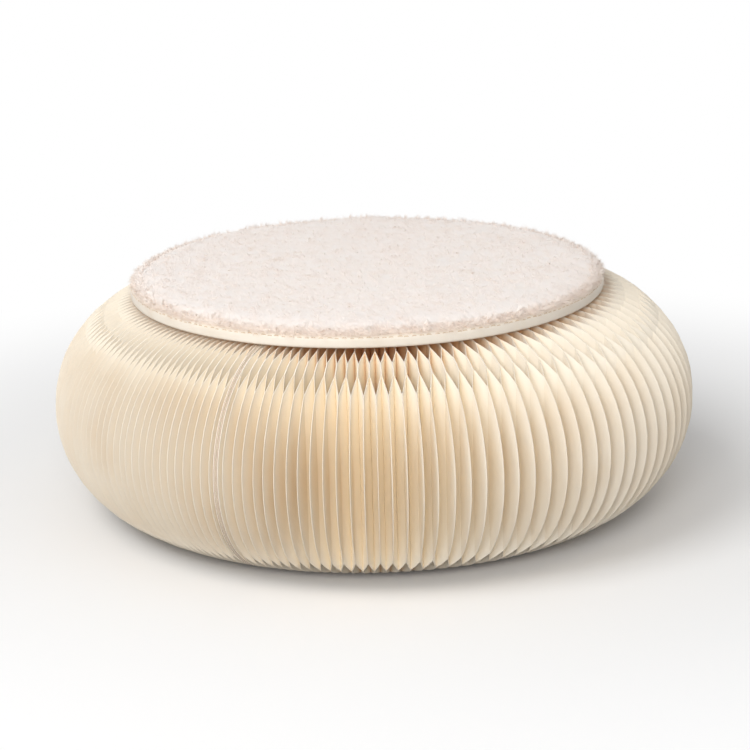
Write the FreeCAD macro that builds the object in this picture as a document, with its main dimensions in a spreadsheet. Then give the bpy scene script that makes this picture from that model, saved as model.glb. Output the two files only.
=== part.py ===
import FreeCAD, Part
import math
import os
import Sketcher

os.makedirs("parts", exist_ok=True)
doc = FreeCAD.newDocument("paper_stool")
Vector = FreeCAD.Vector

# Driving sizes, in millimetres and degrees
sheet = doc.addObject("Spreadsheet::Sheet", "Sizes")
DRIVING_SIZES = {
    # Ring of paper leaves
    "outer_radius": 280,
    "ring_height": 192,
    "inner_radius": 55,
    "paper_thickness": 0.3,
    "glue_film": 0.06,
    "sector_count": 24,
    "leaves_per_sector": 5,
    # Honeycomb, measured inwards from the outer edge
    "outer_margin": 30,
    "wall_run": 16,
    "glue_width": 13,
    # How unevenly the fan is opened by hand, and where it is tightest
    "fan_unevenness": 0.45,
    "fan_phase": 20,
    # Seam of the two end covers, turned from the front
    "seam_turn": -27,
    "seam_gap": 1.2,
    "cover_thickness": 1.6,
    # Magnets in the end covers, with their reach measured inwards from the outer edge
    "magnet_length": 20,
    "magnet_width": 10,
    "magnet_thickness": 1,
    "magnet_clearance": 0.15,
    "magnet_reach": 55,
    "magnet_spacing": 55,
    # Loose pad on top of the ring, which lies a little left of its middle
    "pad_radius": 206,
    "pad_shift": -3.5,
    "pad_edge_height": 10.5,
    "pad_edge_cut": 3,
    "pad_rim_width": 5,
    "pad_seat": 0.3,
    "skin_thickness": 1,
    "board_thickness": 3,
    "core_clearance": 0.3,
    "plush_height": 8,
    "plush_slope": 6,
}
for row, (alias, number) in enumerate(DRIVING_SIZES.items(), start=1):
    sheet.set("A%d" % row, alias)
    sheet.set("B%d" % row, str(number))
    sheet.setAlias("B%d" % row, alias)
doc.recompute()


def size(alias):
    return float(sheet.get(alias))


def origin_plane(body, role):
    return next(plane for plane in body.Origin.OriginFeatures if plane.Role == role)


def upright_sketch(body, name):
    # A sketch in the plane of the axis: its x is the radius and its y is the height
    sketch = body.newObject("Sketcher::SketchObject", name)
    sketch.AttachmentSupport = [(origin_plane(body, "XZ_Plane"), "")]
    sketch.MapMode = "FlatFace"
    return sketch


def line(sketch, start, end):
    segment = Part.LineSegment(Vector(*start, 0), Vector(*end, 0))
    return sketch.addGeometry(segment, False)


def constrain(sketch, *terms):
    return sketch.addConstraint(Sketcher.Constraint(*terms))


def drive(sketch, formula, *terms):
    # A dimension whose value is a formula of the driving sizes
    index = constrain(sketch, *terms)
    sketch.setExpression("Constraints[%d]" % index, formula)


# Radii where the honeycomb changes direction, from the ridges inwards
ridge_root = size("outer_radius") - size("outer_margin")
valley_outer = ridge_root - size("wall_run")
valley_inner = valley_outer - size("glue_width")
rib_root = valley_inner - size("wall_run")
side_radius = size("ring_height") / 2
flat_radius = size("outer_radius") - side_radius
cover_face = size("seam_gap") / 2 + size("cover_thickness")
leaf_count = int(size("sector_count")) * int(size("leaves_per_sector"))
seam_rotation = FreeCAD.Rotation(Vector(0, 0, 1), size("seam_turn") - 90)


def fan_angle(share, radius):
    # Angle from the seam, at a radius, of the line that has this share of the leaves behind it
    phase = math.radians(size("fan_phase"))
    swing = math.sin(2 * math.pi * share + phase) - math.sin(phase)
    even = 2 * math.pi * share - size("fan_unevenness") * swing
    cover_angle = math.asin(cover_face / radius)
    return cover_angle + even * (1 - cover_angle / math.pi)


def leaf_side_block():
    # The D-shaped side of a leaf: flat top and bottom, and a half-round outer edge in straight chords
    middle = size("ring_height") / 2
    bends = [u for u in (rib_root, valley_inner, valley_outer, ridge_root) if u > flat_radius]
    upper = [math.pi / 2] + [math.acos((u - flat_radius) / side_radius) for u in bends]
    upper.append(upper[-1] / 2)
    edge = []
    for angle in upper + [0] + [-angle for angle in reversed(upper)]:
        u = flat_radius + side_radius * math.cos(angle)
        edge.append(Vector(u, 0, middle + side_radius * math.sin(angle)))
    inner_top = Vector(size("inner_radius"), 0, size("ring_height"))
    inner_bottom = Vector(size("inner_radius"), 0, 0)
    outline = Part.makePolygon([inner_top] + edge + [inner_bottom, inner_top])
    half_width = size("outer_radius")
    block = Part.Face(outline).extrude(Vector(0, 2 * half_width, 0))
    block.translate(Vector(0, -half_width, 0))
    return block


def closed_plan(points):
    corners = [Vector(u, v, 0) for u, v in points]
    return Part.makePolygon(corners + corners[:1])


def paper_leaf(number, side_block):
    # Two sheets glued at the ridge and again at the rib, which part between them to meet the next leaves
    before = number / leaf_count
    centre = (number + 0.5) / leaf_count
    after = (number + 1) / leaf_count
    ridge_angle = fan_angle(centre, ridge_root)
    ply = size("paper_thickness")
    half_film = size("glue_film") / 2

    def across(share, radius):
        return radius * math.tan(fan_angle(share, radius) - ridge_angle)

    rib = across(centre, rib_root)
    inner = across(centre, size("inner_radius"))
    near = [across(before, radius) + half_film for radius in (valley_inner, valley_outer)]
    far = [across(after, radius) - half_film for radius in (valley_inner, valley_outer)]
    beyond = size("outer_radius") + size("outer_margin")
    outside = closed_plan([
        (size("inner_radius"), inner - ply),
        (rib_root, rib - ply),
        (valley_inner, near[0]),
        (valley_outer, near[1]),
        (ridge_root, -ply),
        (beyond, -ply),
        (beyond, ply),
        (ridge_root, ply),
        (valley_outer, far[1]),
        (valley_inner, far[0]),
        (rib_root, rib + ply),
        (size("inner_radius"), inner + ply),
    ])
    cell = closed_plan([
        (rib_root, rib),
        (valley_inner, near[0] + ply),
        (valley_outer, near[1] + ply),
        (ridge_root, 0),
        (valley_outer, far[1] - ply),
        (valley_inner, far[0] - ply),
    ])
    plan = Part.makeFace([outside, cell], "Part::FaceMakerBullseye")
    leaf = plan.extrude(Vector(0, 0, size("ring_height"))).common(side_block)
    leaf.rotate(Vector(0, 0, 0), Vector(0, 0, 1), math.degrees(ridge_angle))
    return leaf.Solids[0]


def paper_sector(number, side_block):
    # One run of leaves, which moves as one when the stool is folded
    per_sector = int(size("leaves_per_sector"))
    first = number * per_sector
    leaves = [paper_leaf(index, side_block) for index in range(first, first + per_sector)]
    sector = doc.addObject("Part::Feature", "PaperSector")
    sector.Label = "paper_sector_%02d" % (number + 1)
    sector.Shape = Part.makeCompound(leaves)
    sector.Placement = FreeCAD.Placement(Vector(0, 0, 0), seam_rotation)
    return sector


def end_cover(label, side):
    # A stiff board with the leaf's outline, and blind pockets for magnets in the face towards the paper
    body = doc.addObject("PartDesign::Body", label)
    body.Label = label
    outline = upright_sketch(body, label + "_outline")
    reach = size("inner_radius")
    top = size("ring_height")
    middle = top / 2
    bottom_edge = line(outline, (reach, 0), (flat_radius, 0))
    half_round = Part.ArcOfCircle(
        Part.Circle(Vector(flat_radius, middle, 0), Vector(0, 0, 1), side_radius), -math.pi / 2, math.pi / 2
    )
    round_edge = outline.addGeometry(half_round, False)
    top_edge = line(outline, (flat_radius, top), (reach, top))
    inner_edge = line(outline, (reach, top), (reach, 0))
    constrain(outline, "Tangent", bottom_edge, 2, round_edge, 1)
    constrain(outline, "Tangent", round_edge, 2, top_edge, 1)
    constrain(outline, "Coincident", top_edge, 2, inner_edge, 1)
    constrain(outline, "Coincident", inner_edge, 2, bottom_edge, 1)
    constrain(outline, "Horizontal", bottom_edge)
    constrain(outline, "Vertical", inner_edge)
    constrain(outline, "PointOnObject", bottom_edge, 1, -1)
    drive(outline, "Sizes.inner_radius", "DistanceX", -1, 1, bottom_edge, 1, reach)
    drive(outline, "Sizes.ring_height", "DistanceY", -1, 1, top_edge, 1, top)
    round_centre = "Sizes.outer_radius - Sizes.ring_height / 2"
    drive(outline, round_centre, "DistanceX", -1, 1, round_edge, 3, flat_radius)
    outline.setExpression("AttachmentOffset.Base.z", "%d * Sizes.seam_gap / 2" % -side)
    board = body.newObject("PartDesign::Pad", label + "_board")
    board.Profile = outline
    board.Reversed = side > 0
    board.setExpression("Length", "Sizes.cover_thickness")

    pockets = upright_sketch(body, label + "_pockets")
    face = "%d * (Sizes.seam_gap / 2 + Sizes.cover_thickness)" % -side
    pockets.setExpression("AttachmentOffset.Base.z", face)
    wide = size("magnet_width") + 2 * size("magnet_clearance")
    tall = size("magnet_length") + 2 * size("magnet_clearance")
    left = size("outer_radius") - size("magnet_reach") - wide / 2
    for step in (-1, 0, 1):
        low = middle + step * size("magnet_spacing") - tall / 2
        floor_line = line(pockets, (left, low), (left + wide, low))
        far_line = line(pockets, (left + wide, low), (left + wide, low + tall))
        roof_line = line(pockets, (left + wide, low + tall), (left, low + tall))
        near_line = line(pockets, (left, low + tall), (left, low))
        loop = [floor_line, far_line, roof_line, near_line]
        for before, after in zip(loop, loop[1:] + loop[:1]):
            constrain(pockets, "Coincident", before, 2, after, 1)
        constrain(pockets, "Horizontal", floor_line)
        constrain(pockets, "Vertical", far_line)
        constrain(pockets, "Horizontal", roof_line)
        constrain(pockets, "Vertical", near_line)
        half_wide = "Sizes.magnet_width / 2 + Sizes.magnet_clearance"
        half_tall = "Sizes.magnet_length / 2 + Sizes.magnet_clearance"
        height = "Sizes.ring_height / 2 + %d * Sizes.magnet_spacing" % step
        near_side = "Sizes.outer_radius - Sizes.magnet_reach - (%s)" % half_wide
        drive(pockets, near_side, "DistanceX", -1, 1, floor_line, 1, left)
        drive(pockets, "%s - (%s)" % (height, half_tall), "DistanceY", -1, 1, floor_line, 1, low)
        drive(pockets, "2 * (%s)" % half_wide, "DistanceX", floor_line, 1, floor_line, 2, wide)
        drive(pockets, "2 * (%s)" % half_tall, "DistanceY", far_line, 1, far_line, 2, tall)
    doc.recompute()
    whole = board.Shape.Volume
    pocket = body.newObject("PartDesign::Pocket", label + "_pocket")
    pocket.Profile = pockets
    pocket.Reversed = side > 0
    pocket.setExpression("Length", "Sizes.magnet_thickness + Sizes.magnet_clearance")
    body.setExpression("Placement.Rotation.Angle", "(Sizes.seam_turn - 90) * 1 deg")
    doc.recompute()
    if body.Shape.Volume > whole - 1:
        raise RuntimeError(label + ": the magnet pockets cut nothing")
    return body


def cover_magnets(label, side):
    # Three block magnets that lie on the floor of a cover's pockets
    floor = "Sizes.seam_gap / 2 + Sizes.cover_thickness - Sizes.magnet_thickness - Sizes.magnet_clearance"
    blocks = []
    for step in (-1, 0, 1):
        block = doc.addObject("Part::Box", label + "_block")
        block.setExpression("Length", "Sizes.magnet_width")
        block.setExpression("Width", "Sizes.magnet_thickness")
        block.setExpression("Height", "Sizes.magnet_length")
        near_face = floor if side > 0 else "-(%s) - Sizes.magnet_thickness" % floor
        middle = "Sizes.ring_height / 2 + %d * Sizes.magnet_spacing" % step
        near_side = "Sizes.outer_radius - Sizes.magnet_reach - Sizes.magnet_width / 2"
        block.setExpression("Placement.Base.x", near_side)
        block.setExpression("Placement.Base.y", near_face)
        block.setExpression("Placement.Base.z", middle + " - Sizes.magnet_length / 2")
        blocks.append(block)
    group = doc.addObject("Part::Compound", label)
    group.Label = label
    group.Links = blocks
    group.setExpression("Placement.Rotation.Angle", "(Sizes.seam_turn - 90) * 1 deg")
    return group


def revolve(body, sketch):
    turned = body.newObject("PartDesign::Revolution", body.Label + "_turned")
    turned.Profile = sketch
    turned.ReferenceAxis = (sketch, ["V_Axis"])
    turned.Angle = 360
    body.setExpression("Placement.Base.x", "Sizes.pad_shift")
    body.setExpression("Placement.Base.z", "Sizes.ring_height + Sizes.pad_seat")
    return turned


def pad_skin():
    # Leatherette underside, edge and a rim that turns in over the core
    body = doc.addObject("PartDesign::Body", "pad_skin")
    body.Label = "pad_skin"
    profile = upright_sketch(body, "pad_skin_profile")
    edge = size("pad_edge_height")
    skin = size("skin_thickness")
    cut = size("pad_edge_cut")
    outer = size("pad_radius")
    shoulder = outer - cut
    rim = outer - size("pad_rim_width")
    underside = line(profile, (0, 0), (shoulder, 0))
    lower_slope = line(profile, (shoulder, 0), (outer, cut))
    side = line(profile, (outer, cut), (outer, edge - cut))
    upper_slope = line(profile, (outer, edge - cut), (shoulder, edge))
    rim_top = line(profile, (shoulder, edge), (rim, edge))
    rim_end = line(profile, (rim, edge), (rim, edge - skin))
    rim_under = line(profile, (rim, edge - skin), (shoulder, edge - skin))
    inside = line(profile, (shoulder, edge - skin), (shoulder, skin))
    floor = line(profile, (shoulder, skin), (0, skin))
    axis = line(profile, (0, skin), (0, 0))
    loop = [underside, lower_slope, side, upper_slope, rim_top, rim_end, rim_under, inside, floor, axis]
    for before, after in zip(loop, loop[1:] + loop[:1]):
        constrain(profile, "Coincident", before, 2, after, 1)
    for level in (underside, rim_top, rim_under, floor):
        constrain(profile, "Horizontal", level)
    for upright in (side, rim_end, inside, axis):
        constrain(profile, "Vertical", upright)
    constrain(profile, "Coincident", underside, 1, -1, 1)
    shoulder_radius = "Sizes.pad_radius - Sizes.pad_edge_cut"
    drive(profile, "Sizes.pad_radius", "DistanceX", -1, 1, side, 1, outer)
    drive(profile, shoulder_radius, "DistanceX", -1, 1, underside, 2, shoulder)
    drive(profile, shoulder_radius, "DistanceX", -1, 1, rim_top, 1, shoulder)
    drive(profile, shoulder_radius, "DistanceX", -1, 1, inside, 1, shoulder)
    drive(profile, "Sizes.pad_radius - Sizes.pad_rim_width", "DistanceX", -1, 1, rim_top, 2, rim)
    drive(profile, "Sizes.pad_edge_cut", "DistanceY", -1, 1, side, 1, cut)
    drive(profile, "Sizes.pad_edge_cut", "DistanceY", side, 2, rim_top, 1, cut)
    drive(profile, "Sizes.pad_edge_height", "DistanceY", -1, 1, rim_top, 1, edge)
    drive(profile, "Sizes.skin_thickness", "DistanceY", rim_end, 2, rim_end, 1, skin)
    drive(profile, "Sizes.skin_thickness", "DistanceY", -1, 1, floor, 2, skin)
    revolve(body, profile)
    return body


def core_disc(label, base, height):
    # A plain disc of the core, with a little room inside the skin
    disc = doc.addObject("Part::Cylinder", label)
    disc.Label = label
    disc.setExpression("Radius", "Sizes.pad_radius - Sizes.pad_edge_cut - Sizes.core_clearance")
    disc.setExpression("Height", height)
    disc.setExpression("Placement.Base.x", "Sizes.pad_shift")
    disc.setExpression("Placement.Base.z", "Sizes.ring_height + Sizes.pad_seat + " + base)
    return disc


def plush_top():
    # Thick pile cloth that lies on the foam inside the rim, with a sloping upper edge
    body = doc.addObject("PartDesign::Body", "plush_top")
    body.Label = "plush_top"
    profile = upright_sketch(body, "plush_profile")
    low = size("pad_edge_height") - size("skin_thickness")
    high = size("pad_edge_height") + size("plush_height")
    edge = size("pad_radius") - size("pad_rim_width") - size("core_clearance")
    slope = size("plush_slope")
    underside = line(profile, (0, low), (edge, low))
    side = line(profile, (edge, low), (edge, high - slope))
    sloped = line(profile, (edge, high - slope), (edge - slope, high))
    top = line(profile, (edge - slope, high), (0, high))
    axis = line(profile, (0, high), (0, low))
    loop = [underside, side, sloped, top, axis]
    for before, after in zip(loop, loop[1:] + loop[:1]):
        constrain(profile, "Coincident", before, 2, after, 1)
    constrain(profile, "Horizontal", underside)
    constrain(profile, "Vertical", side)
    constrain(profile, "Horizontal", top)
    constrain(profile, "PointOnObject", axis, 1, -2)
    constrain(profile, "PointOnObject", axis, 2, -2)
    inside_rim = "Sizes.pad_radius - Sizes.pad_rim_width - Sizes.core_clearance"
    drive(profile, "Sizes.pad_edge_height - Sizes.skin_thickness", "DistanceY", -1, 1, underside, 2, low)
    drive(profile, "Sizes.pad_edge_height + Sizes.plush_height", "DistanceY", -1, 1, top, 1, high)
    drive(profile, inside_rim, "DistanceX", -1, 1, underside, 2, edge)
    drive(profile, "Sizes.plush_slope", "DistanceX", sloped, 2, sloped, 1, slope)
    drive(profile, "Sizes.plush_slope", "DistanceY", sloped, 1, sloped, 2, slope)
    revolve(body, profile)
    return body


side_block = leaf_side_block()
pieces = [paper_sector(number, side_block) for number in range(int(size("sector_count")))]
pieces.append(end_cover("fixed_cover", 1))
pieces.append(end_cover("moving_cover", -1))
pieces.append(cover_magnets("fixed_cover_magnets", 1))
pieces.append(cover_magnets("moving_cover_magnets", -1))
pieces.append(pad_skin())
pieces.append(core_disc("pad_board", "Sizes.skin_thickness", "Sizes.board_thickness"))
foam_height = "Sizes.pad_edge_height - 2 * Sizes.skin_thickness - Sizes.board_thickness"
pieces.append(core_disc("pad_foam", "Sizes.skin_thickness + Sizes.board_thickness", foam_height))
pieces.append(plush_top())
doc.recompute()

# Every object has to be sound before any shape is written
for item in doc.Objects:
    if "Invalid" in item.State or "Error" in item.State:
        raise RuntimeError(item.Label + " failed to rebuild")
for piece in pieces:
    if piece.Shape.isNull() or not piece.Shape.isValid():
        raise RuntimeError(piece.Label + " has no valid shape")
for piece in pieces:
    piece.Shape.exportStep("parts/" + piece.Label + ".step")
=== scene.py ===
import bmesh
import bpy
import math
import random
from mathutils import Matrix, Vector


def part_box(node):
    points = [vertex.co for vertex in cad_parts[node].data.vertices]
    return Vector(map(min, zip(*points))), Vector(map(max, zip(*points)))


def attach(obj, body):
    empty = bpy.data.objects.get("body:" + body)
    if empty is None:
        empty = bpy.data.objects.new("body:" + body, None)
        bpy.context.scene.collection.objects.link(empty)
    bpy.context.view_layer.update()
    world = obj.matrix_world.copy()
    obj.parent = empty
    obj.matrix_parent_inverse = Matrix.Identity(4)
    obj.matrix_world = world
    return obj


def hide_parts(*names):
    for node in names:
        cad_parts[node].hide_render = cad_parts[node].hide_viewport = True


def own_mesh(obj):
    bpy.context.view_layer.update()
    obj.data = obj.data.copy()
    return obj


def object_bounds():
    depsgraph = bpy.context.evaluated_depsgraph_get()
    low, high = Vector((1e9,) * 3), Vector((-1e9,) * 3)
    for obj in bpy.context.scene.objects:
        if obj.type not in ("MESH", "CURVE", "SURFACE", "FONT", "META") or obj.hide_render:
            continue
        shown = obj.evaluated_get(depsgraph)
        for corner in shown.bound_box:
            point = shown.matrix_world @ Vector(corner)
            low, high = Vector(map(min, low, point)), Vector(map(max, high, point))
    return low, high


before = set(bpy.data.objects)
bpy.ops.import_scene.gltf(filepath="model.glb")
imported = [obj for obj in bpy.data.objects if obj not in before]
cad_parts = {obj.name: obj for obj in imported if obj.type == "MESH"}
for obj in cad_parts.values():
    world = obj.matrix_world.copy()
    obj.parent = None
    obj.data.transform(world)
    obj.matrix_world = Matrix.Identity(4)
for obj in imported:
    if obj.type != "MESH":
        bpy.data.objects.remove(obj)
cad_box = [list(corner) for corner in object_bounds()]

# Paper leaves
# Thin cream sheets, die-cut to a D and glued to one another in alternating upright bands, so that they
# open into a ring of honeycomb cells. Two sheets make a leaf, and five leaves ride on each sector.
SECTOR_COUNT = 24
LEAVES_PER_SECTOR = 5
LEAF_COUNT = SECTOR_COUNT * LEAVES_PER_SECTOR
RING_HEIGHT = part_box("fixed_cover")[1].z
OUTER_RADIUS = cad_box[1][0]
BORE_RADIUS = 0.055
OUTER_MARGIN = 0.030
WALL_RUN = 0.016
GLUE_WIDTH = 0.013
PAPER_THICKNESS = 0.0003
GLUE_SHARE = 0.022
FAN_UNEVENNESS = 0.45
FAN_PHASE = math.radians(20)
SEAM_TURN = math.radians(-117)
COVER_FACE = 0.0022
RIDGE_STEPS = 6
UPRIGHT_STEPS = 4
TIP_ANGLE = math.radians(3.5)
FOLD_CREASE = math.radians(15)
RIDGE_WANDER = 0.10
EDGE_WANDER = 0.0004
HAND_SEED = 11
PICK_SLACK = 1e-5
PAPER_CREAM = (0.93, 0.868, 0.762)
PAPER_TAN = (0.90, 0.815, 0.685)
CUT_EDGE_IVORY = (0.94, 0.89, 0.81)
CELL_PALE = (0.96, 0.90, 0.79)
CELL_TAN = (0.86, 0.62, 0.38)
CELL_RADII = (0.190, 0.216)
CELL_DEPTHS = (0.001, 0.005)
CLOUD_SCALE = 22
CLOUD_RANGE = (0.25, 0.6)
FIBRE_STRETCH = (1, 1, 0.35)
FIBRE_RELIEF = 0.0002

side_radius = RING_HEIGHT / 2
flat_radius = OUTER_RADIUS - side_radius
ridge_root = OUTER_RADIUS - OUTER_MARGIN
hand = random.Random(HAND_SEED)


def only(piece):
    # Makes this piece the only one selected, and the active one
    bpy.ops.object.select_all(action="DESELECT")
    piece.select_set(True)
    bpy.context.view_layer.objects.active = piece


def pick(piece, test):
    # In edit mode, selects the points whose place passes the test
    bpy.ops.mesh.select_all(action="DESELECT")
    shape = bmesh.from_edit_mesh(piece.data)
    for vertex in shape.verts:
        vertex.select = test(vertex.co)
    shape.select_flush(True)
    bmesh.update_edit_mesh(piece.data)


def apply_modifier(piece, kind, **settings):
    # Adds a modifier with these settings and applies it
    only(piece)
    modifier = piece.modifiers.new(kind.lower(), kind)
    for setting, value in settings.items():
        setattr(modifier, setting, value)
    bpy.ops.object.modifier_apply(modifier=modifier.name)


def half_height(radius):
    # Half the height of the D-shaped sheet at this radius
    if radius <= flat_radius:
        return side_radius
    return math.sqrt(side_radius ** 2 - (radius - flat_radius) ** 2)


def fold_lines():
    # Radius of each upright line of a sheet, from the bore outwards, and how far it stands open there:
    # 0 on the band glued to the leaf's other sheet, 1 on the band glued to the next leaf
    lines = [(ridge_root, 0)]
    radius = ridge_root
    opening = 0
    while radius - WALL_RUN > BORE_RADIUS:
        for step, share in ((WALL_RUN, 1 - opening), (GLUE_WIDTH, 1 - opening)):
            inner = max(radius - step, BORE_RADIUS)
            if radius > flat_radius:
                lines.append(((radius + inner) / 2, (lines[-1][1] + share) / 2))
            lines.append((inner, share))
            radius = inner
        opening = 1 - opening
    lines.reverse()
    ridge_angle = math.acos((ridge_root - flat_radius) / side_radius)
    for step in range(1, RIDGE_STEPS + 1):
        angle = ridge_angle + (TIP_ANGLE - ridge_angle) * step / RIDGE_STEPS
        lines.append((flat_radius + side_radius * math.cos(angle), 0))
    return [(line, GLUE_SHARE + opening * (1 - 2 * GLUE_SHARE)) for line, opening in lines]


def fan_angle(share):
    # Angle from the seam of the line that has this share of the leaves behind it
    swing = math.sin(2 * math.pi * share + FAN_PHASE) - math.sin(FAN_PHASE)
    return 2 * math.pi * share - FAN_UNEVENNESS * swing


# One sheet, extruded outwards from its bore edge fold by fold, and open by 45 degrees until it is placed
lines = fold_lines()
bpy.ops.object.select_all(action="DESELECT")
bpy.ops.mesh.primitive_grid_add(x_subdivisions=1, y_subdivisions=UPRIGHT_STEPS, size=1)
sheet_pattern = bpy.context.active_object
sheet_pattern.name = "sheet_pattern"
first_run = lines[1][0] - lines[0][0]
sheet_pattern.rotation_euler.x = math.pi / 2
sheet_pattern.scale = (first_run, RING_HEIGHT, 1)
sheet_pattern.location = (lines[0][0] + first_run / 2, lines[0][0] * lines[0][1], side_radius)
bpy.ops.object.transform_apply(location=True, rotation=True, scale=True)
bpy.ops.object.mode_set(mode="EDIT")
for (radius, opening), (next_radius, next_opening) in zip(lines[1:], lines[2:]):
    pick(sheet_pattern, lambda place: place.x > radius - PICK_SLACK)
    outwards = next_radius - radius
    across = next_radius * next_opening - radius * opening
    bpy.ops.mesh.extrude_region_move(TRANSFORM_OT_translate={"value": (outwards, across, 0)})
    lower = half_height(next_radius) / half_height(radius)
    bpy.ops.transform.resize(value=(1, 1, lower), center_override=(next_radius, 0, side_radius))
bpy.ops.object.mode_set(mode="OBJECT")


def paper_fibres():
    # Shared by paper, board and foam: cloudy shade, and the height of fine pressed fibres
    group = bpy.data.node_groups.new("paper_fibres", "ShaderNodeTree")
    group.interface.new_socket("Scale", in_out="INPUT", socket_type="NodeSocketFloat")
    group.interface.new_socket("Cloud", in_out="OUTPUT", socket_type="NodeSocketFloat")
    group.interface.new_socket("Height", in_out="OUTPUT", socket_type="NodeSocketFloat")
    start = group.nodes.new("NodeGroupInput")
    end = group.nodes.new("NodeGroupOutput")
    place = group.nodes.new("ShaderNodeTexCoord")
    cloud = group.nodes.new("ShaderNodeTexNoise")
    cloud.inputs["Scale"].default_value = CLOUD_SCALE
    cloud.inputs["Detail"].default_value = 4
    stretched = group.nodes.new("ShaderNodeMapping")
    stretched.inputs["Scale"].default_value = FIBRE_STRETCH
    fibre = group.nodes.new("ShaderNodeTexNoise")
    fibre.inputs["Detail"].default_value = 3
    fibre.inputs["Roughness"].default_value = 0.7
    group.links.new(place.outputs["Object"], cloud.inputs["Vector"])
    group.links.new(place.outputs["Object"], stretched.inputs["Vector"])
    group.links.new(stretched.outputs["Vector"], fibre.inputs["Vector"])
    group.links.new(start.outputs["Scale"], fibre.inputs["Scale"])
    group.links.new(cloud.outputs["Fac"], end.inputs["Cloud"])
    group.links.new(fibre.outputs["Fac"], end.inputs["Height"])
    return group


def new_material(name):
    # A material that has only its shader yet, with the nodes and links to add to
    material = bpy.data.materials.new(name)
    material.use_nodes = True
    nodes = material.node_tree.nodes
    return material, nodes, material.node_tree.links, nodes["Principled BSDF"]


def two_colours(nodes, first, second):
    # Mixes two colours, from the first at 0 to the second at 1
    mix = nodes.new("ShaderNodeMix")
    mix.data_type = "RGBA"
    mix.inputs["A"].default_value = (*first, 1)
    mix.inputs["B"].default_value = (*second, 1)
    return mix


def share_between(nodes, start, end):
    # Turns a value into 0 at the start and 1 at the end
    share = nodes.new("ShaderNodeMapRange")
    share.inputs["From Min"].default_value = start
    share.inputs["From Max"].default_value = end
    return share


def paper_material(name, light, dark, fibre_scale, bump):
    # Matt paper, board or foam in two cloudy shades, with its fibres as a fine relief
    material, nodes, links, shader = new_material(name)
    shader.inputs["Roughness"].default_value = 0.82
    shader.inputs["Specular IOR Level"].default_value = 0.25
    fibres = nodes.new("ShaderNodeGroup")
    fibres.node_tree = fibre_group
    fibres.inputs["Scale"].default_value = fibre_scale
    tint = two_colours(nodes, dark, light)
    spread = share_between(nodes, *CLOUD_RANGE)
    relief = nodes.new("ShaderNodeBump")
    relief.inputs["Strength"].default_value = bump
    relief.inputs["Distance"].default_value = FIBRE_RELIEF
    links.new(fibres.outputs["Cloud"], spread.inputs["Value"])
    links.new(spread.outputs["Result"], tint.inputs["Factor"])
    links.new(tint.outputs["Result"], shader.inputs["Base Color"])
    links.new(fibres.outputs["Height"], relief.inputs["Height"])
    links.new(relief.outputs["Normal"], shader.inputs["Normal"])
    return material


fibre_group = paper_fibres()


def leaf_material():
    # Cream paper. Light that comes through the sheets is painted in: paler inside the outer row of cells,
    # and tan in the deeper rows, which light only reaches by way of other paper
    material = paper_material("leaf_paper", PAPER_CREAM, PAPER_TAN, fibre_scale=900, bump=0.25)
    nodes = material.node_tree.nodes
    links = material.node_tree.links
    face_colour = nodes["Principled BSDF"].inputs["Base Color"].links[0].from_socket
    place = nodes.new("ShaderNodeTexCoord")
    flat = nodes.new("ShaderNodeVectorMath")
    flat.operation = "MULTIPLY"
    flat.inputs[1].default_value = (1, 1, 0)
    reach = nodes.new("ShaderNodeVectorMath")
    reach.operation = "LENGTH"
    inside = share_between(nodes, ridge_root, ridge_root - CELL_DEPTHS[1])
    deeper_row = share_between(nodes, CELL_RADII[1], CELL_RADII[0])
    deeper_row.interpolation_type = "SMOOTHSTEP"
    cell_colour = two_colours(nodes, CELL_PALE, CELL_TAN)
    parts = nodes.new("ShaderNodeSeparateXYZ")
    from_middle = nodes.new("ShaderNodeMath")
    from_middle.operation = "SUBTRACT"
    from_middle.inputs[1].default_value = side_radius
    aside = nodes.new("ShaderNodeMath")
    aside.operation = "ABSOLUTE"
    deep = share_between(nodes, side_radius - CELL_DEPTHS[0], side_radius - CELL_DEPTHS[1])
    deep.interpolation_type = "SMOOTHSTEP"
    both = nodes.new("ShaderNodeMath")
    both.operation = "MULTIPLY"
    shaded = nodes.new("ShaderNodeMix")
    shaded.data_type = "RGBA"
    links.new(place.outputs["Object"], flat.inputs[0])
    links.new(flat.outputs["Vector"], reach.inputs[0])
    links.new(reach.outputs["Value"], inside.inputs["Value"])
    links.new(reach.outputs["Value"], deeper_row.inputs["Value"])
    links.new(deeper_row.outputs["Result"], cell_colour.inputs["Factor"])
    links.new(place.outputs["Object"], parts.inputs["Vector"])
    links.new(parts.outputs["Z"], from_middle.inputs[0])
    links.new(from_middle.outputs["Value"], aside.inputs[0])
    links.new(aside.outputs["Value"], deep.inputs["Value"])
    links.new(inside.outputs["Result"], both.inputs[0])
    links.new(deep.outputs["Result"], both.inputs[1])
    links.new(both.outputs["Value"], shaded.inputs["Factor"])
    links.new(face_colour, shaded.inputs["A"])
    links.new(cell_colour.outputs["Result"], shaded.inputs["B"])
    links.new(shaded.outputs["Result"], nodes["Principled BSDF"].inputs["Base Color"])
    return material


leaf_paper = leaf_material()
cut_edge = paper_material("cut_edge", CUT_EDGE_IVORY, PAPER_CREAM, fibre_scale=1500, bump=0.15)


def place_sheet(turn, half_pitch, aside):
    # A copy of the sheet, opened to its half pitch and turned to its leaf
    sheet = sheet_pattern.copy()
    sheet.data = sheet_pattern.data.copy()
    bpy.context.scene.collection.objects.link(sheet)
    stick_out = 1 + hand.uniform(-EDGE_WANDER, EDGE_WANDER) / OUTER_RADIUS
    sheet.scale = (stick_out, math.tan(half_pitch), 1)
    sheet.rotation_euler.z = turn
    sheet.location = (-aside * math.sin(turn), aside * math.cos(turn), 0)
    sheet.select_set(True)
    return sheet


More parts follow.
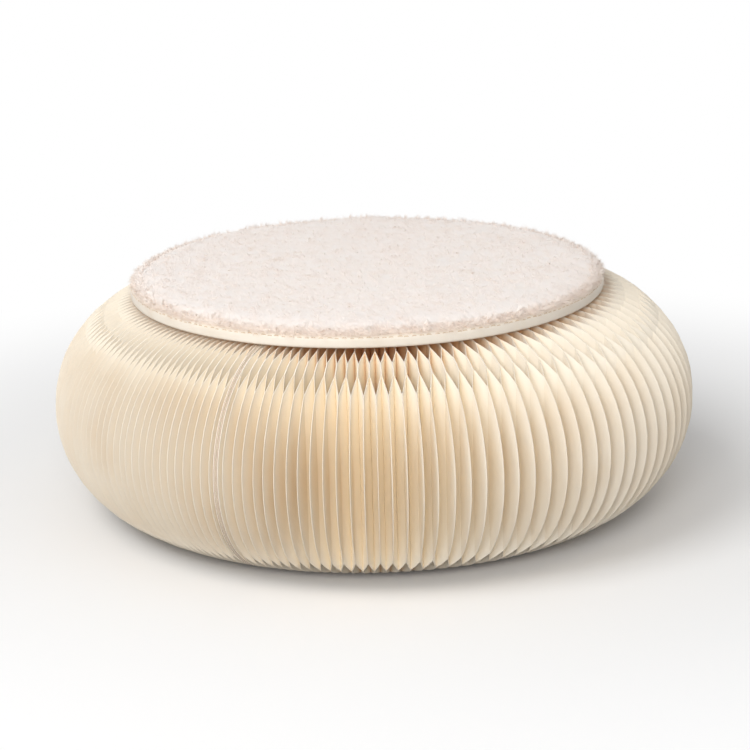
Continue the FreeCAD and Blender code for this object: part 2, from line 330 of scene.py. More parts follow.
def paper_sector(number):
    # Five leaves joined, with the paper's thickness and paler cut edges
    bpy.ops.object.select_all(action="DESELECT")
    for leaf in range(number * LEAVES_PER_SECTOR, (number + 1) * LEAVES_PER_SECTOR):
        before = fan_angle(leaf / LEAF_COUNT)
        after = fan_angle((leaf + 1) / LEAF_COUNT)
        ridge = fan_angle((leaf + 0.5) / LEAF_COUNT)
        ridge += hand.uniform(-RIDGE_WANDER, RIDGE_WANDER) * (after - before) / 2
        aside = COVER_FACE * (1 - ridge / math.pi)
        place_sheet(SEAM_TURN + ridge, before - ridge, aside)
        sheet = place_sheet(SEAM_TURN + ridge, after - ridge, aside)
    bpy.context.view_layer.objects.active = sheet
    bpy.ops.object.transform_apply(location=True, rotation=True, scale=True)
    bpy.ops.object.join()
    sector = bpy.context.active_object
    sector.name = "leaves_%02d" % (number + 1)
    sector.data.materials.append(leaf_paper)
    sector.data.materials.append(cut_edge)
    apply_modifier(sector, "SOLIDIFY", thickness=PAPER_THICKNESS, offset=0, material_offset_rim=1)
    bpy.ops.object.shade_smooth_by_angle(angle=FOLD_CREASE)
    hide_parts("paper_sector_%02d" % (number + 1))
    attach(sector, "sector_%02d" % (number + 1))
    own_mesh(sector)


for number in range(SECTOR_COUNT):
    paper_sector(number)
bpy.data.objects.remove(sheet_pattern)

# End covers
# Two stiff tan boards lined with the same cream paper, cut to the same D, which close the fan at its two
# ends. They are glued to the first and last sheet and meet at the seam. The tan of their edges is
# darkened with painted shade, like the shaded grooves beside them.
PAPER_LINING = 0.0004
FACE_LINING = 0.0001
# The board's own tan, darkened with painted shade like the shaded grooves beside the seam
BOARD_TAN_AND_SHADE = (0.56, 0.43, 0.33)
SEAM_GAP = 0.0012


def board_material():
    # Lining paper on both faces, thinner on the one at the seam, and the tan board where its edge shows
    # between them, darkened with painted shade to match the shaded grooves beside it
    core_near = SEAM_GAP / 2 + FACE_LINING
    core_far = COVER_FACE - PAPER_LINING
    core_half = (core_far - core_near) / 2
    material = paper_material("cover_board", PAPER_CREAM, PAPER_TAN, fibre_scale=500, bump=0.3)
    nodes = material.node_tree.nodes
    links = material.node_tree.links
    lining_colour = nodes["Principled BSDF"].inputs["Base Color"].links[0].from_socket
    place = nodes.new("ShaderNodeTexCoord")
    upright = nodes.new("ShaderNodeMapping")
    upright.inputs["Rotation"].default_value = (0, 0, -SEAM_TURN)
    parts = nodes.new("ShaderNodeSeparateXYZ")
    from_seam = nodes.new("ShaderNodeMath")
    from_seam.operation = "ABSOLUTE"
    depth = nodes.new("ShaderNodeMath")
    depth.operation = "SUBTRACT"
    depth.inputs[1].default_value = (core_near + core_far) / 2
    from_middle = nodes.new("ShaderNodeMath")
    from_middle.operation = "ABSOLUTE"
    core = share_between(nodes, core_half, core_half - FACE_LINING / 2)
    layers = nodes.new("ShaderNodeMix")
    layers.data_type = "RGBA"
    layers.inputs["B"].default_value = (*BOARD_TAN_AND_SHADE, 1)
    links.new(place.outputs["Object"], upright.inputs["Vector"])
    links.new(upright.outputs["Vector"], parts.inputs["Vector"])
    links.new(parts.outputs["Y"], from_seam.inputs[0])
    links.new(from_seam.outputs["Value"], depth.inputs[0])
    links.new(depth.outputs["Value"], from_middle.inputs[0])
    links.new(from_middle.outputs["Value"], core.inputs["Value"])
    links.new(core.outputs["Result"], layers.inputs["Factor"])
    links.new(lining_colour, layers.inputs["A"])
    links.new(layers.outputs["Result"], nodes["Principled BSDF"].inputs["Base Color"])
    return material


def finish_node(node, material):
    # Gives a CAD node this material in place of its plain one
    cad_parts[node].data.materials.clear()
    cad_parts[node].data.materials.append(material)


cover_board = board_material()
finish_node("fixed_cover", cover_board)
finish_node("moving_cover", cover_board)

# Magnets
# Flat nickel-plated blocks, three in each cover, glued into pockets on the paper side. They hold the seam
# shut when the stool is open.
NICKEL = (0.62, 0.60, 0.56)
NICKEL_ROUGHNESS = (0.25, 0.45)
SCUFF_SCALE = 700
nickel_plate, plate_nodes, plate_links, plate_shader = new_material("nickel_plate")
plate_shader.inputs["Base Color"].default_value = (*NICKEL, 1)
plate_shader.inputs["Metallic"].default_value = 1
plate_place = plate_nodes.new("ShaderNodeTexCoord")
plate_scuff = plate_nodes.new("ShaderNodeTexNoise")
plate_scuff.inputs["Scale"].default_value = SCUFF_SCALE
plate_range = plate_nodes.new("ShaderNodeMapRange")
plate_range.inputs["To Min"].default_value = NICKEL_ROUGHNESS[0]
plate_range.inputs["To Max"].default_value = NICKEL_ROUGHNESS[1]
plate_links.new(plate_place.outputs["Object"], plate_scuff.inputs["Vector"])
plate_links.new(plate_scuff.outputs["Fac"], plate_range.inputs["Value"])
plate_links.new(plate_range.outputs["Result"], plate_shader.inputs["Roughness"])
finish_node("fixed_cover_magnets", nickel_plate)
finish_node("moving_cover_magnets", nickel_plate)

# Pad core
# A disc of grey board that keeps the pad flat, with a thin sheet of yellow foam glued on it. Both keep
# their CAD shapes, and the cover and the pile cloth close them in.
BOARD_GREY = (0.66, 0.56, 0.43)
FOAM_YELLOW = (0.86, 0.80, 0.62)
FOAM_SHADE = (0.74, 0.66, 0.46)
finish_node("pad_board", paper_material("core_board", BOARD_GREY, PAPER_TAN, fibre_scale=300, bump=0.4))
finish_node("pad_foam", paper_material("core_foam", FOAM_YELLOW, FOAM_SHADE, fibre_scale=250, bump=0.6))

# Pad cover
# Ivory leatherette, cut as a disc and drawn up round the edge of the core into a soft roll, then turned in
# under the pile cloth, where it is sewn down.
PAD_SHIFT = (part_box("pad_skin")[0].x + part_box("pad_skin")[1].x) / 2
PAD_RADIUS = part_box("pad_skin")[1].x - PAD_SHIFT
PAD_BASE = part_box("pad_skin")[0].z
PAD_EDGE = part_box("pad_skin")[1].z - PAD_BASE
RIM_WIDTH = 0.005
BASE_ROUND = 0.0022
TOP_ROUND = 0.004
SEAM_DEPTH = 0.0016
SEAM_LIP = 0.0008
TUCK = 0.006
ROUND_STEPS = 192
ROLL_STEPS = 5
INSET_SHARE = 0.3
ROLL_CREASE = math.radians(40)
COVER_IVORY = (0.90, 0.83, 0.73)
COVER_SHADE = (0.84, 0.75, 0.63)
COVER_PATCH_SCALE = 35
COVER_PATCH_RANGE = (0.2, 0.55)
COVER_ROUGHNESS = (0.42, 0.6)
PEBBLE_SCALE = 900
PEBBLE_RELIEF = 0.0003


def cover_rings():
    # Radius and height of each ring of the cover, from the underside round the edge to the tucked-in end
    rings = []
    for step in range(ROLL_STEPS + 1):
        angle = math.pi / 2 * (step / ROLL_STEPS - 1)
        rings.append((PAD_RADIUS + BASE_ROUND * (math.cos(angle) - 1), BASE_ROUND * (1 + math.sin(angle))))
    for step in range(ROLL_STEPS + 1):
        angle = math.pi / 2 * step / ROLL_STEPS
        height = PAD_EDGE + TOP_ROUND * (math.sin(angle) - 1)
        rings.append((PAD_RADIUS + TOP_ROUND * (math.cos(angle) - 1), height))
    seam = PAD_RADIUS - RIM_WIDTH
    rings.append((seam + SEAM_LIP, PAD_EDGE - SEAM_LIP / 3))
    rings.append((seam, PAD_EDGE - SEAM_DEPTH))
    rings.append((seam - TUCK, PAD_EDGE - SEAM_DEPTH))
    return rings


def turned_disc(name, rings, base):
    # A closed round piece: a circle extruded ring by ring along a profile of radii and heights
    bpy.ops.object.select_all(action="DESELECT")
    bpy.ops.mesh.primitive_circle_add(
        vertices=ROUND_STEPS, radius=rings[0][0], fill_type="NOTHING", location=(0, 0, base)
    )
    disc = bpy.context.active_object
    disc.name = name
    bpy.ops.object.transform_apply(location=True)
    bpy.ops.object.mode_set(mode="EDIT")
    bpy.ops.mesh.select_all(action="SELECT")
    bpy.ops.mesh.edge_face_add()
    bpy.ops.mesh.inset(thickness=rings[0][0] * INSET_SHARE)
    pick(disc, lambda place: place.xy.length > rings[0][0] - PICK_SLACK)
    for (radius, height), (next_radius, next_height) in zip(rings, rings[1:]):
        bpy.ops.mesh.extrude_region_move(TRANSFORM_OT_translate={"value": (0, 0, next_height - height)})
        wider = next_radius / radius
        bpy.ops.transform.resize(value=(wider, wider, 1), center_override=(0, 0, base + next_height))
    bpy.ops.mesh.edge_face_add()
    bpy.ops.mesh.select_all(action="SELECT")
    bpy.ops.mesh.normals_make_consistent(inside=False)
    bpy.ops.object.mode_set(mode="OBJECT")
    return disc


def lay_aside(piece):
    # Moves a piece of the pad to where the pad lies, a little off the ring's middle
    only(piece)
    piece.location.x = PAD_SHIFT
    bpy.ops.object.transform_apply(location=True)


pad_cover = turned_disc("pad_cover", cover_rings(), PAD_BASE)
bpy.ops.object.shade_smooth_by_angle(angle=ROLL_CREASE)
lay_aside(pad_cover)


def leather_material():
    # Pebbled coating: small round cells with creases between them, and a soft low gloss
    material, nodes, links, shader = new_material("ivory_leatherette")
    shader.inputs["Specular IOR Level"].default_value = 0.35
    place = nodes.new("ShaderNodeTexCoord")
    pebble = nodes.new("ShaderNodeTexVoronoi")
    pebble.inputs["Scale"].default_value = PEBBLE_SCALE
    patch = nodes.new("ShaderNodeTexNoise")
    patch.inputs["Scale"].default_value = COVER_PATCH_SCALE
    patch.inputs["Detail"].default_value = 3
    tint = two_colours(nodes, COVER_SHADE, COVER_IVORY)
    spread = share_between(nodes, *COVER_PATCH_RANGE)
    gloss = nodes.new("ShaderNodeMapRange")
    gloss.inputs["To Min"].default_value = COVER_ROUGHNESS[0]
    gloss.inputs["To Max"].default_value = COVER_ROUGHNESS[1]
    relief = nodes.new("ShaderNodeBump")
    relief.inputs["Strength"].default_value = 0.25
    relief.inputs["Distance"].default_value = PEBBLE_RELIEF
    links.new(place.outputs["Object"], pebble.inputs["Vector"])
    links.new(place.outputs["Object"], patch.inputs["Vector"])
    links.new(patch.outputs["Fac"], spread.inputs["Value"])
    links.new(spread.outputs["Result"], tint.inputs["Factor"])
    links.new(tint.outputs["Result"], shader.inputs["Base Color"])
    links.new(pebble.outputs["Distance"], gloss.inputs["Value"])
    links.new(gloss.outputs["Result"], shader.inputs["Roughness"])
    links.new(pebble.outputs["Distance"], relief.inputs["Height"])
    links.new(relief.outputs["Normal"], shader.inputs["Normal"])
    return material


pad_cover.data.materials.append(leather_material())
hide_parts("pad_skin")
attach(pad_cover, "pad")

# Seam stitches
# One row of tan thread on the outside of the roll, below the pile: short straight threads whose ends dip
# into the leatherette. It sews the pile cloth into the cover.
STITCH_LENGTH = 0.0042
STITCH_SPACING = 0.0062
STITCH_STRAIGHT = 0.6
STITCH_DIP = 0.0005
STITCH_TAPER = 0.6
STITCH_INSET = 0.0007
STITCH_STRAY = 0.0005
STITCH_JITTER = 0.15
THREAD_RADIUS = 0.0004
THREAD_SIDES = 6
THREAD_CREASE = math.radians(50)
THREAD_TAN = (0.60, 0.44, 0.28)
THREAD_LIGHT = (0.74, 0.60, 0.42)
THREAD_TWIST_SCALE = 2500
stitch_radius = PAD_RADIUS - STITCH_INSET
roll_middle = PAD_BASE + PAD_EDGE - TOP_ROUND
stitch_height = roll_middle + math.sqrt(TOP_ROUND ** 2 - (TOP_ROUND - STITCH_INSET) ** 2)
stitch_count = round(2 * math.pi * stitch_radius / STITCH_SPACING)
bpy.ops.object.select_all(action="DESELECT")
bpy.ops.mesh.primitive_cylinder_add(
    vertices=THREAD_SIDES, radius=THREAD_RADIUS, depth=STITCH_LENGTH * STITCH_STRAIGHT,
    end_fill_type="NGON", location=(stitch_radius, 0, stitch_height), rotation=(math.pi / 2, 0, 0),
)
stitch = bpy.context.active_object
bpy.ops.object.transform_apply(location=True, rotation=True)
bpy.ops.object.mode_set(mode="EDIT")
for end in (-1, 1):
    pick(stitch, lambda place: place.y * end > 0)
    reach = (0, end * STITCH_LENGTH * (1 - STITCH_STRAIGHT) / 2, -STITCH_DIP)
    bpy.ops.mesh.extrude_region_move(TRANSFORM_OT_translate={"value": reach})
    tip = (stitch_radius, end * STITCH_LENGTH / 2, stitch_height - STITCH_DIP)
    bpy.ops.transform.resize(value=(STITCH_TAPER, 1, STITCH_TAPER), center_override=tip)
bpy.ops.object.mode_set(mode="OBJECT")
bpy.ops.object.select_all(action="DESELECT")
for number in range(stitch_count):
    copy = stitch.copy()
    copy.data = stitch.data.copy()
    jitter = hand.uniform(-STITCH_JITTER, STITCH_JITTER)
    copy.rotation_euler.z = 2 * math.pi * (number + jitter) / stitch_count
    copy.location.z = hand.uniform(-1, 1) * STITCH_STRAY
    bpy.context.scene.collection.objects.link(copy)
    copy.select_set(True)
bpy.context.view_layer.objects.active = copy
bpy.ops.object.transform_apply(location=True, rotation=True)
bpy.ops.object.join()
seam_stitches = bpy.context.active_object
seam_stitches.name = "seam_stitches"
bpy.data.objects.remove(stitch)
bpy.ops.object.shade_smooth_by_angle(angle=THREAD_CREASE)
thread, thread_nodes, thread_links, thread_shader = new_material("tan_thread")
thread_shader.inputs["Roughness"].default_value = 0.6
thread_place = thread_nodes.new("ShaderNodeTexCoord")
thread_twist = thread_nodes.new("ShaderNodeTexNoise")
thread_twist.inputs["Scale"].default_value = THREAD_TWIST_SCALE
thread_tint = two_colours(thread_nodes, THREAD_TAN, THREAD_LIGHT)
thread_links.new(thread_place.outputs["Object"], thread_twist.inputs["Vector"])
thread_links.new(thread_twist.outputs["Fac"], thread_tint.inputs["Factor"])
thread_links.new(thread_tint.outputs["Result"], thread_shader.inputs["Base Color"])
seam_stitches.data.materials.append(thread)
lay_aside(seam_stitches)
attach(seam_stitches, "pad")

# Pile cloth
# Thick off-white plush, laid on the foam and sewn down inside the rim: a padded disc that swells a little
# between its sewn edges and hangs over the rim all round.
SEWN_GAP = 0.0006
PILE_EDGE = PAD_RADIUS - RIM_WIDTH - SEWN_GAP
PILE_BED = PAD_BASE + PAD_EDGE - SEAM_DEPTH
PILE_HEIGHT = 0.0078
LIP_RISE = 0.0003
PILE_LIP = SEAM_DEPTH + LIP_RISE
OVERHANG = 0.005
DROOP = 0.0035
BULGE_STEPS = 6
SWELL_PRESSURE = 4
SWELL_FRAMES = 20
SWELL_CAP = 0.0012
VOXEL = 0.003
PLUSH_WHITE = (0.945, 0.892, 0.857)
PLUSH_SHADE = (0.93, 0.865, 0.818)
# Painted shade: creamier and darker low down at the edge of the pile
PLUSH_LOW_SHADE = (0.91, 0.81, 0.715)
PLUSH_PATCH_SCALE = 90
PLUSH_PATCH_RANGE = (0.3, 0.6)
LOW_SHADE_REACH = PILE_HEIGHT * 1.05


def pile_rings():
    # Profile of the cloth: up inside the seam, out over the rim and round to its flat top
    rings = [(PILE_EDGE, 0), (PILE_EDGE, PILE_LIP)]
    for step in range(1, BULGE_STEPS + 1):
        angle = math.pi * (step / BULGE_STEPS - 0.5)
        out = OVERHANG * math.cos(angle)
        if angle > 0:
            out = 2 * out - OVERHANG
        height = PILE_LIP + (PILE_HEIGHT - PILE_LIP) * (1 + math.sin(angle)) / 2
        rings.append((PILE_EDGE + out, height - DROOP * math.cos(angle)))
    return rings


pile_cloth = turned_disc("pile_cloth", pile_rings(), PILE_BED)


def swell(piece, cap):
    # Cloth blown up a little from inside with its lower edge held, and no point moved further than the cap
    apply_modifier(piece, "REMESH", mode="VOXEL", voxel_size=VOXEL)
    rest = [vertex.co.copy() for vertex in piece.data.vertices]
    held = piece.vertex_groups.new(name="held")
    held.add([v.index for v in piece.data.vertices if v.co.z < PILE_BED + VOXEL / 3], 1, "REPLACE")
    only(piece)
    cloth = piece.modifiers.new("cloth", "CLOTH")
    cloth.settings.vertex_group_mass = "held"
    cloth.settings.use_pressure = True
    cloth.settings.uniform_pressure_force = SWELL_PRESSURE
    cloth.settings.effector_weights.gravity = 0
    for step in range(1, SWELL_FRAMES + 1):
        bpy.context.scene.frame_set(step)
    bpy.ops.object.modifier_apply(modifier=cloth.name)
    bpy.context.scene.frame_set(1)
    for vertex, start in zip(piece.data.vertices, rest):
        move = vertex.co - start
        if move.length > cap:
            vertex.co = start + move * (cap / move.length)


swell(pile_cloth, SWELL_CAP)
bpy.ops.object.shade_smooth()
lay_aside(pile_cloth)


def plush_material():
    # White in soft patches, and creamier and darker low down at the edge, where shade is painted in
    material, nodes, links, shader = new_material("plush")
    shader.inputs["Roughness"].default_value = 0.9
    shader.inputs["Specular IOR Level"].default_value = 0.15
    shader.inputs["Sheen Weight"].default_value = 0.25
    shader.inputs["Sheen Roughness"].default_value = 0.5
    place = nodes.new("ShaderNodeTexCoord")
    patch = nodes.new("ShaderNodeTexNoise")
    patch.inputs["Scale"].default_value = PLUSH_PATCH_SCALE
    patch.inputs["Detail"].default_value = 5
    spread = share_between(nodes, *PLUSH_PATCH_RANGE)
    tint = two_colours(nodes, PLUSH_SHADE, PLUSH_WHITE)
    parts = nodes.new("ShaderNodeSeparateXYZ")
    # Painted shade by height, from near the top of the pile down to its bed
    low = share_between(nodes, PILE_BED + LOW_SHADE_REACH, PILE_BED)
    low_shade = nodes.new("ShaderNodeMix")
    low_shade.data_type = "RGBA"
    low_shade.inputs["B"].default_value = (*PLUSH_LOW_SHADE, 1)
    links.new(place.outputs["Object"], patch.inputs["Vector"])
    links.new(patch.outputs["Fac"], spread.inputs["Value"])
    links.new(spread.outputs["Result"], tint.inputs["Factor"])
    links.new(place.outputs["Object"], parts.inputs["Vector"])
    links.new(parts.outputs["Z"], low.inputs["Value"])
    links.new(low.outputs["Result"], low_shade.inputs["Factor"])
    links.new(tint.outputs["Result"], low_shade.inputs["A"])
    links.new(low_shade.outputs["Result"], shader.inputs["Base Color"])
    return material


plush = plush_material()
pile_cloth.data.materials.append(plush)
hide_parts("plush_top")
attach(pile_cloth, "pad")

# Pile
# The fibres of the plush, in tufts of fine flat fibres that are woven into the cloth: lying over to all
# sides on top, brushed downwards at the edge, and standing out from it in small clumps as a fringe.
FIBRE_RADIUS = 0.00035
FIBRE_SIDES = 3
FIBRE_FLATNESS = 0.2
FIBRE_LENGTHS = (0.7, 1.2)
FIBRE_SINK = 0.0005
FIBRES_PER_TUFT = 8
TUFT_SIZES = (0.75, 1.2)
TUFT_TILT = 0.1
FULL_SWING = math.pi
LOOSE_FAN = math.radians(80)
LOOSE_SPREAD = 0.003
CLUMP_FAN = math.radians(35)
CLUMP_SPREAD = 0.0013
CROWN_LENGTH = 0.0055
CROWN_LEAN = (math.radians(56), math.radians(80))
CROWN_TUFTS = 55000
CROWN_SEED = 3
EDGE_LENGTH = 0.0075
EDGE_LEAN = (math.radians(54), math.radians(82))
EDGE_RING = 0.003
EDGE_TUFTS = 230000
EDGE_SWING = math.radians(50)
EDGE_SEED = 5
FRINGE_LENGTH = 0.0065
FRINGE_LEAN = (math.radians(40), math.radians(60))
FRINGE_TUFTS = 80000
FRINGE_SEED = 7


def pile_fibre(length, lean, spread, fan):
    # One flat tapered fibre of about this length, leaning over by an angle in this range, a little off the
    # middle of its tuft and turned to its own side
    length *= hand.uniform(*FIBRE_LENGTHS)
    bpy.ops.object.select_all(action="DESELECT")
    bpy.ops.mesh.primitive_cone_add(
        vertices=FIBRE_SIDES, radius1=FIBRE_RADIUS, radius2=0, depth=length, location=(0, 0, length / 2)
    )
    fibre = bpy.context.active_object
    bpy.ops.object.transform_apply(location=True)
    fibre.scale.y = FIBRE_FLATNESS
    fibre.rotation_euler = (hand.uniform(*lean), 0, hand.uniform(-1, 1) * fan)
    fibre.location = (hand.uniform(-1, 1) * spread, hand.uniform(-1, 1) * spread, -FIBRE_SINK)
    bpy.ops.object.transform_apply(location=True, rotation=True, scale=True)
    return fibre


def pile_tuft(length, lean, spread, fan):
    # A few fibres joined, which lie over to roughly the same side
    fibres = [pile_fibre(length, lean, spread, fan) for number in range(FIBRES_PER_TUFT)]
    bpy.ops.object.select_all(action="DESELECT")
    for fibre in fibres:
        fibre.select_set(True)
    bpy.context.view_layer.objects.active = fibres[0]
    bpy.ops.object.join()
    return bpy.context.active_object


def scatter_tufts(tuft, density, seed, swing):
    # Stands a tuft on each of many random points of a surface, brushed downwards where the surface slopes,
    # and swung from there at random
    tree = bpy.data.node_groups.new("scatter_tufts", "GeometryNodeTree")
    tree.interface.new_socket("Surface", in_out="INPUT", socket_type="NodeSocketGeometry")
    tree.interface.new_socket("Tufts", in_out="OUTPUT", socket_type="NodeSocketGeometry")
    start = tree.nodes.new("NodeGroupInput")
    end = tree.nodes.new("NodeGroupOutput")
    points = tree.nodes.new("GeometryNodeDistributePointsOnFaces")
    points.inputs["Density"].default_value = density
    points.inputs["Seed"].default_value = seed
    source = tree.nodes.new("GeometryNodeObjectInfo")
    source.inputs["Object"].default_value = tuft
    turn = tree.nodes.new("FunctionNodeRandomValue")
    turn.data_type = "FLOAT_VECTOR"
    turn.inputs["Min"].default_value = (-TUFT_TILT, -TUFT_TILT, -swing)
    turn.inputs["Max"].default_value = (TUFT_TILT, TUFT_TILT, swing)
    turn.inputs["Seed"].default_value = seed + 1
    turned = tree.nodes.new("FunctionNodeEulerToRotation")
    brushed = tree.nodes.new("FunctionNodeAlignRotationToVector")
    brushed.axis = "Y"
    brushed.pivot_axis = "Z"
    brushed.inputs["Vector"].default_value = (0, 0, 1)
    stood = tree.nodes.new("FunctionNodeRotateRotation")
    stood.rotation_space = "LOCAL"
    bulk = tree.nodes.new("FunctionNodeRandomValue")
    bulk.data_type = "FLOAT"
    bulk.inputs[2].default_value = TUFT_SIZES[0]
    bulk.inputs[3].default_value = TUFT_SIZES[1]
    bulk.inputs["Seed"].default_value = seed + 2
    stand = tree.nodes.new("GeometryNodeInstanceOnPoints")
    real = tree.nodes.new("GeometryNodeRealizeInstances")
    tree.links.new(start.outputs["Surface"], points.inputs["Mesh"])
    tree.links.new(points.outputs["Points"], stand.inputs["Points"])
    tree.links.new(source.outputs["Geometry"], stand.inputs["Instance"])
    tree.links.new(turn.outputs["Value"], turned.inputs["Euler"])
    tree.links.new(points.outputs["Rotation"], brushed.inputs["Rotation"])
    tree.links.new(brushed.outputs["Rotation"], stood.inputs["Rotation"])
    tree.links.new(turned.outputs["Rotation"], stood.inputs["Rotate By"])
    tree.links.new(stood.outputs["Rotation"], stand.inputs["Rotation"])
    tree.links.new(bulk.outputs[1], stand.inputs["Scale"])
    tree.links.new(stand.outputs["Instances"], real.inputs["Geometry"])
    tree.links.new(real.outputs["Geometry"], end.inputs["Tufts"])
    return tree


def pile(name, test, tuft, density, seed, swing):
    # Tufts all over the part of the cloth whose places pass the test.
    piece = pile_cloth.copy()
    piece.data = pile_cloth.data.copy()
    piece.name = name
    for key in list(piece.keys()):
        del piece[key]
    piece.parent = None
    bpy.context.scene.collection.objects.link(piece)
    only(piece)
    bpy.ops.object.mode_set(mode="EDIT")
    pick(piece, lambda place: not test(place))
    bpy.ops.mesh.delete(type="VERT")
    bpy.ops.object.mode_set(mode="OBJECT")
    apply_modifier(piece, "NODES", node_group=scatter_tufts(tuft, density, seed, swing))
    bpy.data.objects.remove(tuft)
    only(piece)
    piece.data.materials.clear()
    piece.data.materials.append(plush)
    bpy.ops.object.shade_flat()
    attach(piece, "pad")


crown_limit = PILE_EDGE - EDGE_RING
above_bed = PILE_BED + PILE_LIP / 8


def on_crown(place):
    # On top, inside the ring at the edge
    return place.z > above_bed and math.hypot(place.x - PAD_SHIFT, place.y) < crown_limit


def on_edge(place):
    # In the ring at the edge, which reaches one voxel into the crown
    return place.z > above_bed and math.hypot(place.x - PAD_SHIFT, place.y) > crown_limit - VOXEL


crown_tuft = pile_tuft(CROWN_LENGTH, CROWN_LEAN, LOOSE_SPREAD, LOOSE_FAN)
pile("pile_crown", on_crown, crown_tuft, CROWN_TUFTS, CROWN_SEED, FULL_SWING)
edge_tuft = pile_tuft(EDGE_LENGTH, EDGE_LEAN, LOOSE_SPREAD, LOOSE_FAN)
pile("pile_edge", on_edge, edge_tuft, EDGE_TUFTS, EDGE_SEED, EDGE_SWING)
fringe_tuft = pile_tuft(FRINGE_LENGTH, FRINGE_LEAN, CLUMP_SPREAD, CLUMP_FAN)
pile("pile_fringe", on_edge, fringe_tuft, FRINGE_TUFTS, FRINGE_SEED, FULL_SWING)

# Camera
# Stands where the photograph was taken from: straight in front of the stool and a little above its seat,
# far enough away that the ring looks nearly flat in perspective.
CAMERA_DISTANCE = 2.24
CAMERA_ELEVATION = math.radians(16.564)
CAMERA_ROLL = math.radians(-1.52)
CAMERA_LENS = 121.5
CAMERA_SHIFT = (0.0015, 0.0209)
camera_data = bpy.data.cameras.new("camera")
camera = bpy.data.objects.new("camera", camera_data)
bpy.context.scene.collection.objects.link(camera)
camera_data.lens = CAMERA_LENS
camera_data.shift_x, camera_data.shift_y = CAMERA_SHIFT
back = CAMERA_DISTANCE * math.cos(CAMERA_ELEVATION)
camera.location = (0, -back, side_radius + CAMERA_DISTANCE * math.sin(CAMERA_ELEVATION))
camera.rotation_mode = "XYZ"
camera.rotation_euler = (math.pi / 2 - CAMERA_ELEVATION, 0, 0)
camera.rotation_euler.rotate_axis("Z", CAMERA_ROLL)
bpy.context.scene.camera = camera

# Studio
# A white floor that keeps the stool's shadow and turns plain white away from it, even light from all round,
# a large soft lamp high on the left and a smaller one in front that shines into the grooves. Light may
# bounce many times, because it reaches the depth of the grooves from leaf to leaf.
FLOOR_SIZE = 30
FLOOR_WHITE = (0.95, 0.95, 0.95)
FLOOR_BOUNCE = (0.45, 0.45, 0.45)
SHADOW_REACH = (0.36, 0.8)
SKY_STRENGTH = 0.45
LEFT_PLACE = (-1.7, -1.4, 2.75)
LEFT_SIZE = 1.8
LEFT_POWER = 48
FRONT_PLACE = (-0.35, -2.97, 1.4)
FRONT_SIZE = 1.2
FRONT_POWER = 43
DIFFUSE_BOUNCES = 12
ALL_BOUNCES = 16


def seen_directly(nodes, links):
    # 1 for what the camera sees, also in a reflection or through glass, and 0 for light that bounces on
    ray = nodes.new("ShaderNodeLightPath")
    seen = nodes.new("ShaderNodeMath")
    seen.operation = "ADD"
    seen_clear = nodes.new("ShaderNodeMath")
    seen_clear.operation = "ADD"
    seen_clear.use_clamp = True
    links.new(ray.outputs["Is Camera Ray"], seen.inputs[0])
    links.new(ray.outputs["Is Glossy Ray"], seen.inputs[1])
    links.new(seen.outputs["Value"], seen_clear.inputs[0])
    links.new(ray.outputs["Is Transmission Ray"], seen_clear.inputs[1])
    return seen_clear.outputs["Value"]


bpy.ops.object.select_all(action="DESELECT")
bpy.ops.mesh.primitive_plane_add(size=FLOOR_SIZE, location=(0, 0, 0))
floor = bpy.context.active_object
floor.name = "floor"
floor_paint, floor_nodes, floor_links, floor_shader = new_material("floor_paint")
floor_shader.inputs["Roughness"].default_value = 0.9
floor_seen = seen_directly(floor_nodes, floor_links)
floor_tint = two_colours(floor_nodes, FLOOR_BOUNCE, FLOOR_WHITE)
floor_place = floor_nodes.new("ShaderNodeTexCoord")
floor_reach = floor_nodes.new("ShaderNodeVectorMath")
floor_reach.operation = "LENGTH"
floor_far = share_between(floor_nodes, *SHADOW_REACH)
floor_far.interpolation_type = "SMOOTHSTEP"
floor_plain = floor_nodes.new("ShaderNodeMath")
floor_plain.operation = "MULTIPLY"
floor_glow = floor_nodes.new("ShaderNodeEmission")
floor_mix = floor_nodes.new("ShaderNodeMixShader")
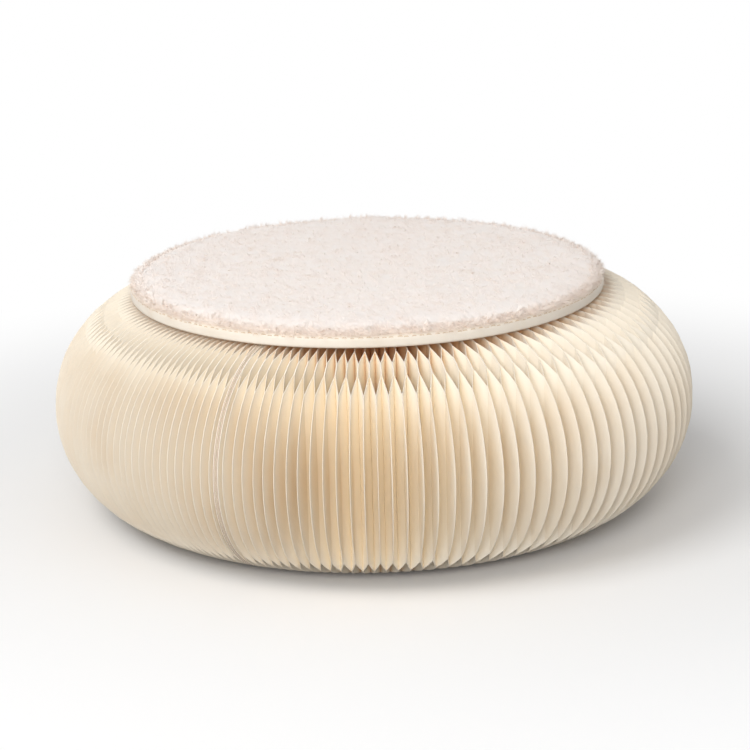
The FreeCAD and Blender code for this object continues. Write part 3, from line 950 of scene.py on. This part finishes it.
floor_links.new(floor_seen, floor_tint.inputs["Factor"])
floor_links.new(floor_tint.outputs["Result"], floor_shader.inputs["Base Color"])
floor_links.new(floor_place.outputs["Object"], floor_reach.inputs[0])
floor_links.new(floor_reach.outputs["Value"], floor_far.inputs["Value"])
floor_links.new(floor_far.outputs["Result"], floor_plain.inputs[0])
floor_links.new(floor_seen, floor_plain.inputs[1])
floor_links.new(floor_plain.outputs["Value"], floor_mix.inputs["Fac"])
floor_links.new(floor_shader.outputs["BSDF"], floor_mix.inputs[1])
floor_links.new(floor_glow.outputs["Emission"], floor_mix.inputs[2])
floor_links.new(floor_mix.outputs["Shader"], floor_nodes["Material Output"].inputs["Surface"])
floor.data.materials.append(floor_paint)


def soft_lamp(name, place, size, power):
    # A square lamp that faces the middle of the floor
    lamp_data = bpy.data.lights.new(name, "AREA")
    lamp_data.energy = power
    lamp_data.size = size
    lamp = bpy.data.objects.new(name, lamp_data)
    bpy.context.scene.collection.objects.link(lamp)
    lamp.location = place
    lamp.rotation_euler = (lamp.location * -1).to_track_quat("-Z", "Y").to_euler()


soft_lamp("left_lamp", LEFT_PLACE, LEFT_SIZE, LEFT_POWER)
soft_lamp("front_lamp", FRONT_PLACE, FRONT_SIZE, FRONT_POWER)
world = bpy.data.worlds.new("studio")
world.use_nodes = True
bpy.context.scene.world = world
sky_nodes = world.node_tree.nodes
sky_links = world.node_tree.links
sky_nodes["Background"].inputs["Color"].default_value = (1, 1, 1, 1)
sky_seen = seen_directly(sky_nodes, sky_links)
sky_level = sky_nodes.new("ShaderNodeMapRange")
sky_level.inputs["To Min"].default_value = SKY_STRENGTH
sky_level.inputs["To Max"].default_value = 1
sky_links.new(sky_seen, sky_level.inputs["Value"])
sky_links.new(sky_level.outputs["Result"], sky_nodes["Background"].inputs["Strength"])
bpy.context.scene.cycles.diffuse_bounces = DIFFUSE_BOUNCES
bpy.context.scene.cycles.max_bounces = ALL_BOUNCES
bpy.context.scene.view_settings.view_transform = "Standard"
